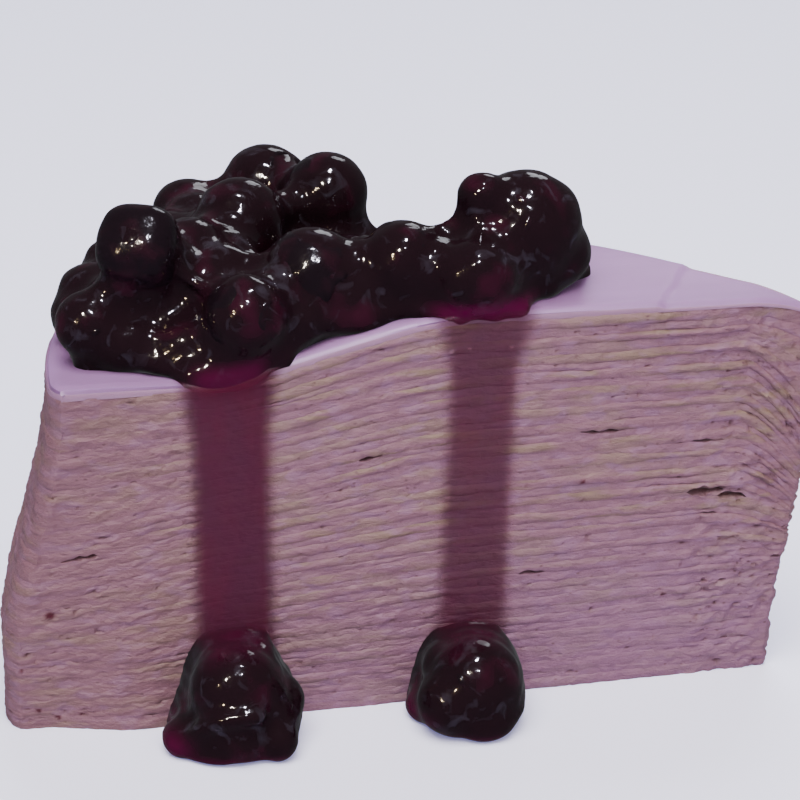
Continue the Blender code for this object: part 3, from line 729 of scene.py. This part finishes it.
def pourOver(name, lumps, facts):  # one skin over all lumps, with the hollows between them filled as sauce fills them
    piece = joinInto(lumps[0], lumps[1:])
    piece.name = name
    piece.data.name = name
    applyModifier(piece, "REMESH", mode="VOXEL", voxel_size=facts["voxel"])
    applyModifier(piece, "DISPLACE", strength=facts["fillet"], mid_level=0)
    applyModifier(piece, "REMESH", mode="VOXEL", voxel_size=facts["voxel"])
    applyModifier(piece, "SMOOTH", factor=0.5, iterations=4)
    applyModifier(piece, "DISPLACE", strength=-facts["fillet"] + facts["thicker"], mid_level=0)
    applyModifier(piece, "REMESH", mode="VOXEL", voxel_size=facts["voxel"])
    applyModifier(piece, "SMOOTH", factor=0.5, iterations=facts["smoothing"])
    points = pointsOf(piece)
    normals = np.zeros(points.size)
    piece.data.vertices.foreach_get("normal", normals)
    normals = normals.reshape(-1, 3)
    swell = sum(height * softNoise(points, length, 130 + turn) for turn, (height, length) in enumerate(facts["swells"]))
    movePoints(piece, points + normals * swell[:, None])
    return piece


def cutAway(piece, point, normal, fill=True):  # removes what lies on the side that the normal points to
    deselectAll()
    piece.select_set(True)
    bpy.context.view_layer.objects.active = piece
    bpy.ops.object.mode_set(mode="EDIT")
    bpy.ops.mesh.select_all(action="SELECT")
    bpy.ops.mesh.bisect(plane_co=point, plane_no=normal, use_fill=fill, clear_outer=True)
    bpy.ops.object.mode_set(mode="OBJECT")


heap = {
    "voxel": 0.42 * mm, "fillet": 2.7 * mm, "thicker": 0.12 * mm, "smoothing": 6,
    "swells": ((0.22 * mm, 6 * mm), (0.11 * mm, 2.4 * mm), (0.04 * mm, 1.3 * mm)),
    "beadSteps": 48, "bead": 2.2 * mm, "beadInset": 2.0 * mm, "beadRise": -0.5 * mm,
    # further lumps of sauce and skin on the heap: centre and radii (mm)
    "lumps": (
        ((19.4, -18.0, 68.4), (3.4, 3.2, 3.2)),
        ((25.7, -16.6, 63.5), (7.5, 7.5, 7.8)),
        ((28.8, -15.8, 60.0), (6.2, 5.8, 5.2)),
        ((26.2, -17.4, 57.0), (5.0, 4.8, 3.0)),
        ((21.5, -20.6, 59.0), (4.4, 3.4, 4.4)),
        ((17.2, -23.2, 59.4), (5.8, 5.1, 4.9)),
        ((-29.5, -3.0, 54.4), (5.0, 5.0, 3.6)),
        ((-13.7, 12.0, 58.4), (4.6, 4.6, 4.2)),
        ((-13.2, -5.0, 58.4), (5.2, 5.2, 4.4)),
        ((13.2, -20.6, 57.8), (4.6, 3.0, 3.6)),
        ((0.8, -20.0, 56.0), (4.8, 3.0, 3.6)),
        ((-6.6, -20.6, 54.4), (4.6, 3.6, 3.6)),
        ((-14.2, -12.8, 58.6), (3.6, 3.6, 4.0)),
        ((4.0, -10.0, 57.6), (6.0, 6.0, 4.0)),
        ((-25.6, -12.0, 56.0), (6.0, 5.0, 4.4)),
        ((-18.0, 6.0, 57.0), (6.0, 7.0, 4.6)),
        ((-17.5, -7.6, 60.6), (4.4, 5.2, 4.2)),
        ((-17.4, -13.6, 57.4), (5.0, 4.6, 4.6)),
        ((-32.0, -6.0, 51.8), (3.8, 6.6, 3.8)),
        ((-27.4, -17.4, 51.4), (5.2, 3.6, 3.8)),
        ((-22.2, -20.7, 49.8), (4.4, 2.0, 1.8)),
        ((-18.6, -1.6, 57.6), (4.8, 4.6, 4.6)),
        ((-8.0, -18.6, 52.8), (6.0, 5.0, 3.0)),
        ((2.0, -18.6, 54.4), (6.0, 5.0, 3.0)),
        ((12.0, -19.4, 55.6), (6.0, 4.6, 3.0)),
        ((-19.4, -19.6, 51.2), (4.6, 3.8, 3.8)),
        # over the edge of the coat, where the runs leave
        ((-15.6, -24.2, 48.7), (5.8, 1.9, 2.5)),
        ((18.0, -23.0, 54.7), (5.6, 2.2, 1.4)),
    ),
}


def poolEdge(pool, steps):  # points round the edge of the pool
    dense = duplicateOf(pool, "poolOutline")
    applyModifier(dense, "REMESH", mode="VOXEL", voxel_size=heap["voxel"])
    points = pointsOf(dense)
    bpy.data.objects.remove(dense)
    middle = (points.min(0) + points.max(0)) / 2
    away = points[:, :2] - middle[:2]
    heading = np.arctan2(away[:, 1], away[:, 0])
    reach = np.hypot(*away.T)
    found = []
    for turn in range(steps):
        apart = np.abs((heading - 2 * pi * turn / steps + pi) % (2 * pi) - pi)
        nearby = np.where(apart < 2 * pi / steps)[0]
        farthest = nearby[np.argmax(reach[nearby])]
        found.append((points[farthest], away[farthest] / reach[farthest]))
    return found


def syrupCopy(name):
    piece = duplicateOf(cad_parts["syrup"], name)
    piece.parent = None
    for key in list(piece.keys()):
        del piece[key]
    applyModifier(piece, "WELD", merge_threshold=0.02 * mm)
    return piece


def makeHeap():
    pool = syrupCopy("heapSauce")
    cutAway(pool, (0, wedge["cut"] - 0.1 * mm, 0), (0, -1, 0))
    cutAway(pool, (0, 0, wedge["heightAtRim"] - 3 * mm), (0, 0, -1))
    lumps = [pool]
    for number in topNumbers:
        centre, radius = berryPlace(number)
        share, shift = berries["settled"].get(number, (1, (0, 0, 0)))
        lumps.append(addBall(centre + Vector(shift) * mm, [radius * share] * 3))
    for place, outward in poolEdge(pool, heap["beadSteps"]):
        centre = Vector(place) - Vector((*outward, 0)) * heap["beadInset"]
        centre.z += heap["beadRise"]
        lumps.append(addBall(centre, [heap["bead"]] * 3, divisions=3))
    for centre, radii in heap["lumps"]:
        lumps.append(addBall([part * mm for part in centre], [part * mm for part in radii]))
    return pourOver("heapSauce", lumps, heap)


def addThinness(piece, height, glow):  # how far light gets through: low skirts, most of all where the runs leave
    points = pointsOf(piece)
    nearRun = np.zeros(len(points))
    for run in runs["each"]:
        aside = np.abs(points[:, 0] - run["middle"] * mm) / (run["glow"] * mm)
        near = smoothStep(1.3, 0.6, aside) * smoothStep(-17 * mm, -21 * mm, points[:, 1])
        nearRun = np.maximum(nearRun, run["shine"] * near)
    thin = smoothStep(3.0 * mm, 0.6 * mm, height(points)) * (0.03 + nearRun) * glow
    storeValue(piece, "thin", np.clip(thin, 0, 1))


runs = {
    "across": 26, "along": 150, "thickness": 0.75 * mm, "gap": 0.12 * mm, "start": 5.5 * mm, "glowLength": 4.2 * mm,
    "each": (
        {"name": "leftRun", "middle": -15.5, "half": 6.2, "flare": 0.2, "lean": 0.3, "seed": 1, "foot": 9.0, "glow": 4.6,
         "shine": 0.7, "cover": 0.84, "lip": 0.97},
        {"name": "rightRun", "middle": 18.2, "half": 5.6, "flare": 0.45, "lean": -1.4, "seed": 2, "foot": 9.0, "glow": 7.0,
         "shine": 1.0, "cover": 0.62, "lip": 0.42},
    ),
}


def aboveCoat(points):
    out, _ = sharesAt(points)
    return points[:, 2] - coatTop(points[:, 0], np.maximum(points[:, 1], wedge["cut"]), out)


sauceMaterial = syrupMaterial()
heapSauce = makeHeap()
addThinness(heapSauce, aboveCoat, 1.0)
heapSauce.data.shade_smooth()
print("heap sauce:", len(heapSauce.data.polygons), "faces")

feet = {
    "voxel": 0.4 * mm, "thicker": 0.05 * mm, "smoothing": 5, "berryShare": 1.05, "boxiness": 3.0, "sliceHeight": 1.3,
    "swells": ((0.16 * mm, 5 * mm), (0.09 * mm, 1.8 * mm)),
    # level slices through a foot: height, left end, right end and reach out from the cut (mm);
    # then lobes and the berry heads that stand out of it: centre and radii (mm);
    # then folds in its skin: radius and a chain of places (mm)
    "left": {
        "fillet": 1.0 * mm,
        "slices": (
            (0.8, -24.8, -8.0, 13.4), (2.8, -24.4, -7.0, 13.6), (4.8, -23.6, -7.0, 13.4), (6.8, -22.8, -7.8, 12.9),
            (8.8, -22.1, -8.9, 12.6), (10.4, -21.4, -9.8, 11.9), (11.5, -20.7, -10.4, 10.4), (12.3, -20.2, -10.6, 8.0),
        ),
        "lobes": (
            ((-23.2, -31.8, 2.0), (3.0, 3.6, 2.5)), ((-11.8, -36.0, 2.6), (2.8, 3.2, 3.0)),
            ((-16.8, -36.4, 3.4), (3.6, 2.8, 2.9)), ((-10.4, -30.6, 5.4), (3.4, 4.0, 3.6)),
        ),
        "folds": (
            (1.2, ((-22.8, -34.6, 2.4), (-22.4, -35.4, 3.8), (-21.5, -36.6, 5.3), (-19.5, -38.1, 6.9),
                   (-17.0, -38.9, 7.5), (-14.7, -38.9, 7.5))),
            (0.7, ((-20.0, -29.8, 12.2), (-21.1, -31.2, 9.4), (-22.0, -32.6, 6.6))),
            (0.8, ((-13.8, -31.4, 12.8), (-13.0, -34.6, 10.8))),
        ),
    },
    "right": {
        "fillet": 2.2 * mm,
        "slices": (
            (0.8, 8.2, 22.6, 13.4), (2.8, 8.6, 23.4, 13.9), (4.6, 9.1, 23.3, 13.9), (6.4, 9.5, 23.1, 13.5),
            (7.8, 9.9, 22.7, 13.0), (9.0, 10.6, 22.0, 12.3), (9.9, 11.4, 21.4, 10.6),
        ),
        "lobes": (
            ((12.0, -34.6, 4.6), (4.6, 4.7, 4.7)), ((17.2, -34.2, 3.0), (4.4, 4.4, 3.0)),
            ((9.8, -29.6, 1.6), (2.8, 3.4, 2.2)), ((16.0, -36.8, 2.2), (4.2, 3.2, 2.6)),
            ((16.4, -30.4, 7.8), (5.4, 5.6, 4.1)), ((12.6, -30.4, 7.2), (3.4, 5.4, 3.6)),
        ),
        "folds": (
            (0.8, ((13.2, -38.2, 6.2), (15.0, -38.9, 6.6), (17.2, -38.8, 6.0))),
            (0.7, ((11.0, -33.4, 10.2), (12.4, -36.2, 8.6), (12.9, -37.6, 7.0))),
        ),
    },
}


def addSlice(height, left, right, reach):  # a level lens of sauce against the cut, boxier than an ellipse
    piece = addBall((0, 0, 0), (1, 1, feet["sliceHeight"] * mm))
    points = pointsOf(piece)
    plan = np.hypot(points[:, 0], points[:, 1]) + 1e-9
    boxy = (np.abs(points[:, :2]) ** feet["boxiness"]).sum(1) ** (1 / feet["boxiness"]) + 1e-9
    points[:, :2] *= (plan / boxy)[:, None] * [(right - left) / 2 * mm, reach * mm]
    movePoints(piece, points + [(left + right) / 2 * mm, wedge["cut"], height * mm])
    return piece


def makeFoot(name, facts, berryNumber):
    centre, radius = berryPlace(berryNumber)
    balls = [addSlice(*slice) for slice in facts["slices"]]
    balls += [addBall([part * mm for part in place], [part * mm for part in radii]) for place, radii in facts["lobes"]]
    balls.append(addBall(centre, [radius * feet["berryShare"]] * 3))
    for size, places in facts["folds"]:
        places = [Vector(place) * mm for place in places]
        for start, end in zip(places, places[1:]):
            for share in (0, 0.25, 0.5, 0.75, 1):
                balls.append(addBall(start.lerp(end, share), [size * mm] * 3, divisions=2))
    piece = pourOver(name, balls, dict(feet, fillet=facts["fillet"]))
    cutAway(piece, (0, 0, 0.02 * mm), (0, 0, -1))
    cutAway(piece, (0, wedge["cut"] + 1 * mm, 0), (0, 1, 0))
    points = pointsOf(piece)
    low = 0.6 * smoothStep(1.8 * mm, 0.2 * mm, points[:, 2])
    lobe = smoothStep(centre.x - 5 * mm, centre.x - 9 * mm, points[:, 0]) * smoothStep(5 * mm, 2 * mm, points[:, 2])
    neck = smoothStep(3 * mm, 6 * mm, points[:, 2] - centre.z) * smoothStep(12 * mm, 6 * mm, wedge["cut"] - points[:, 1])
    storeValue(piece, "thin", np.clip(np.maximum(np.maximum(low, 0.8 * lobe), 0.38 * neck), 0, 1))
    piece.data.shade_smooth()
    return piece


leftFoot = makeFoot("leftFoot", feet["left"], 14)
rightFoot = makeFoot("rightFoot", feet["right"], 15)
for piece in (heapSauce, leftFoot, rightFoot):
    standFor(piece, sauceMaterial, "syrup", "syrup")
print("feet:", len(leftFoot.data.polygons), len(rightFoot.data.polygons), "faces")

# ---- runs down the cut ----


def makeRun(run):  # a lens-shaped band that leaves the heap, rounds the coat's edge and hangs down the cut
    deselectAll()
    bpy.ops.mesh.primitive_grid_add(x_subdivisions=runs["across"], y_subdivisions=runs["along"], size=1)
    piece = newest(run["name"])
    bpy.ops.object.mode_set(mode="EDIT")
    bpy.ops.mesh.select_all(action="SELECT")
    bpy.ops.mesh.extrude_region_move(TRANSFORM_OT_translate={"value": (0, 0, 1)})
    bpy.ops.mesh.select_all(action="SELECT")
    bpy.ops.mesh.normals_make_consistent(inside=False)
    bpy.ops.object.mode_set(mode="OBJECT")
    unit = pointsOf(piece)
    across, down = 2 * unit[:, 0], 0.5 - unit[:, 1]
    lip = aboveCoatHeight(run["middle"] * mm)
    length = runs["start"] + lip - run["foot"] * mm
    travelled = down * length - runs["start"]          # below zero on the top of the cake
    wander = softNoise(np.stack([travelled, 0 * travelled, 0 * travelled], 1), 14 * mm, 150 + run["seed"])
    ragged = softNoise(np.stack([travelled, np.sign(across) * 9 * mm, 0 * travelled], 1), 4 * mm, 160 + run["seed"])
    half = run["half"] * mm * (1 + run["flare"] * smoothStep(9 * mm, -1 * mm, travelled)
                               + 0.06 * smoothStep(28 * mm, 44 * mm, travelled)) + 0.22 * mm * ragged
    middle = run["middle"] * mm + run["lean"] * mm * np.clip(travelled / lip, 0, 1) + 0.2 * mm * wander
    x = middle + across * half
    y = np.where(travelled < 0, wedge["cut"] - travelled, wedge["cut"])
    out, _ = sharesAt(np.stack([x, y], 1))
    top = coatTop(x, y, out)
    z = np.where(travelled < 0, top, top - travelled)
    body = unit[:, 2] * runs["thickness"] * (1 - across ** 2) + runs["gap"]
    bend = smoothStep(-1.2 * mm, 1.2 * mm, travelled)
    y = y - bend * body - 0.25 * mm * bend
    z = z + (1 - bend) * body - 0.15 * mm * np.exp(-(travelled / (0.8 * mm)) ** 2)
    y = y + 0.10 * mm * np.exp(-(travelled / (0.8 * mm)) ** 2)
    movePoints(piece, np.stack([x, y, z], 1))
    glow = smoothStep(runs["glowLength"], 0, travelled) * smoothStep(1.0, 0.3, np.abs(across))
    edge = smoothStep(1.0, 0.55, np.abs(across))
    single = 1 - (1 - (run["cover"] + (run["lip"] - run["cover"]) * glow) * edge) ** 0.5
    storeValue(piece, "cover", single)
    storeValue(piece, "glow", glow)
    piece.data.shade_smooth()
    return piece


def aboveCoatHeight(x):  # height of the coat's front edge
    out, _ = sharesAt(np.array([[x, wedge["cut"]]]))
    return float(coatTop(np.array([x]), np.array([wedge["cut"]]), out)[0])


thinMaterial = filmMaterial()
for run in runs["each"]:
    standFor(makeRun(run), thinMaterial, "syrup", "syrup")
print("runs:", len(runs["each"]))

# ---- floor, light and camera ----

stage = {"floor": "#ECEEFF", "lift": "#AFAFFF", "sky": "#E8E9F2", "skyStrength": 0.16}


def makeFloor():
    deselectAll()
    bpy.ops.mesh.primitive_plane_add(size=6, location=(0, 0, 0))
    floor = newest("floor")
    material = newMaterial("plain pale board")
    shader = addNode(material, "ShaderNodeBsdfPrincipled",
                     {"Base Color": linearColour(stage["floor"]), "Roughness": 0.5, "Specular IOR Level": 0.3,
                      "Emission Color": linearColour(stage["lift"]), "Emission Strength": 0.35})
    floor.data.materials.append(finishMaterial(material, shader))
    floor.visible_glossy = False                        # the glaze mirrors a dim room, not a bright board


def makeLight(name, direction, distance, size, power, colour, seenIn):  # aimed at the cake from an azimuth and elevation
    azimuth, elevation = (radians(part) for part in direction)
    target = Vector((0, 0, 40 * mm))
    towards = Vector((cos(elevation) * sin(azimuth), -cos(elevation) * cos(azimuth), sin(elevation)))
    data = bpy.data.lights.new(name, "AREA")
    data.shape = "DISK"
    data.size = size
    data.energy = power
    data.color = linearColour(colour)[:3]
    lamp = bpy.data.objects.new(name, data)
    bpy.context.scene.collection.objects.link(lamp)
    lamp.visible_glossy = seenIn == "glaze"              # the large soft ones leave no shape on the glaze,
    lamp.visible_diffuse = seenIn != "glaze"             # and the small ones only glint on it
    lamp.location = target + distance * towards
    lamp.rotation_euler = towards.to_track_quat("Z", "Y").to_euler()


lights = (
    # name, (azimuth from the front, elevation) in degrees, distance and size in metres, watts, colour,
    # and where it is seen
    ("softBox", (-25, 66), 1.4, 1.2, 43, "#FFF9F4", "everywhere else"),
    ("frontFill", (10, 30), 1.6, 1.2, 13, "#FFF6F2", "everywhere else"),
    ("backFill", (160, 50), 1.5, 0.9, 19, "#F2F4FF", "everywhere else"),
    ("skyPanel", (150, 35), 1.6, 0.5, 3.2, "#F4F6FF", "glaze"),
    ("lampHigh", (-2, 56), 1.2, 0.06, 19, "#F0EEFF", "glaze"),
    ("lampLeft", (-34, 44), 1.2, 0.06, 19, "#FFF3E2", "glaze"),
    ("lampLow", (-52, 24), 1.2, 0.05, 8, "#FFE2B0", "glaze"),
    ("lampTop", (25, 80), 1.2, 0.06, 13, "#F0EEFF", "glaze"),
)

camera = {"place": (-64.56 * mm, -308.2 * mm, 150.65 * mm), "yaw": 14.155, "pitch": 20.091, "roll": 0.705, "lens": 108}


def makeCamera():
    yaw, pitch, roll = (radians(camera[key]) for key in ("yaw", "pitch", "roll"))
    forward = Vector((sin(yaw) * cos(pitch), cos(yaw) * cos(pitch), -sin(pitch)))
    level = Vector((cos(yaw), -sin(yaw), 0))
    upright = level.cross(forward)
    right = level * cos(roll) + upright * sin(roll)
    upward = upright * cos(roll) - level * sin(roll)
    data = bpy.data.cameras.new("camera")
    data.lens = camera["lens"]
    data.sensor_width = 36
    eye = bpy.data.objects.new("camera", data)
    bpy.context.scene.collection.objects.link(eye)
    eye.matrix_world = Matrix((right, upward, -forward)).transposed().to_4x4()
    eye.location = camera["place"]
    bpy.context.scene.camera = eye


makeFloor()
for light in lights:
    makeLight(*light)
world = bpy.data.worlds.new("studio")
world.use_nodes = True
world.node_tree.nodes["Background"].inputs[0].default_value = linearColour(stage["sky"])
world.node_tree.nodes["Background"].inputs[1].default_value = stage["skyStrength"]
bpy.context.scene.world = world
makeCamera()
print("floor, lights and camera in place")
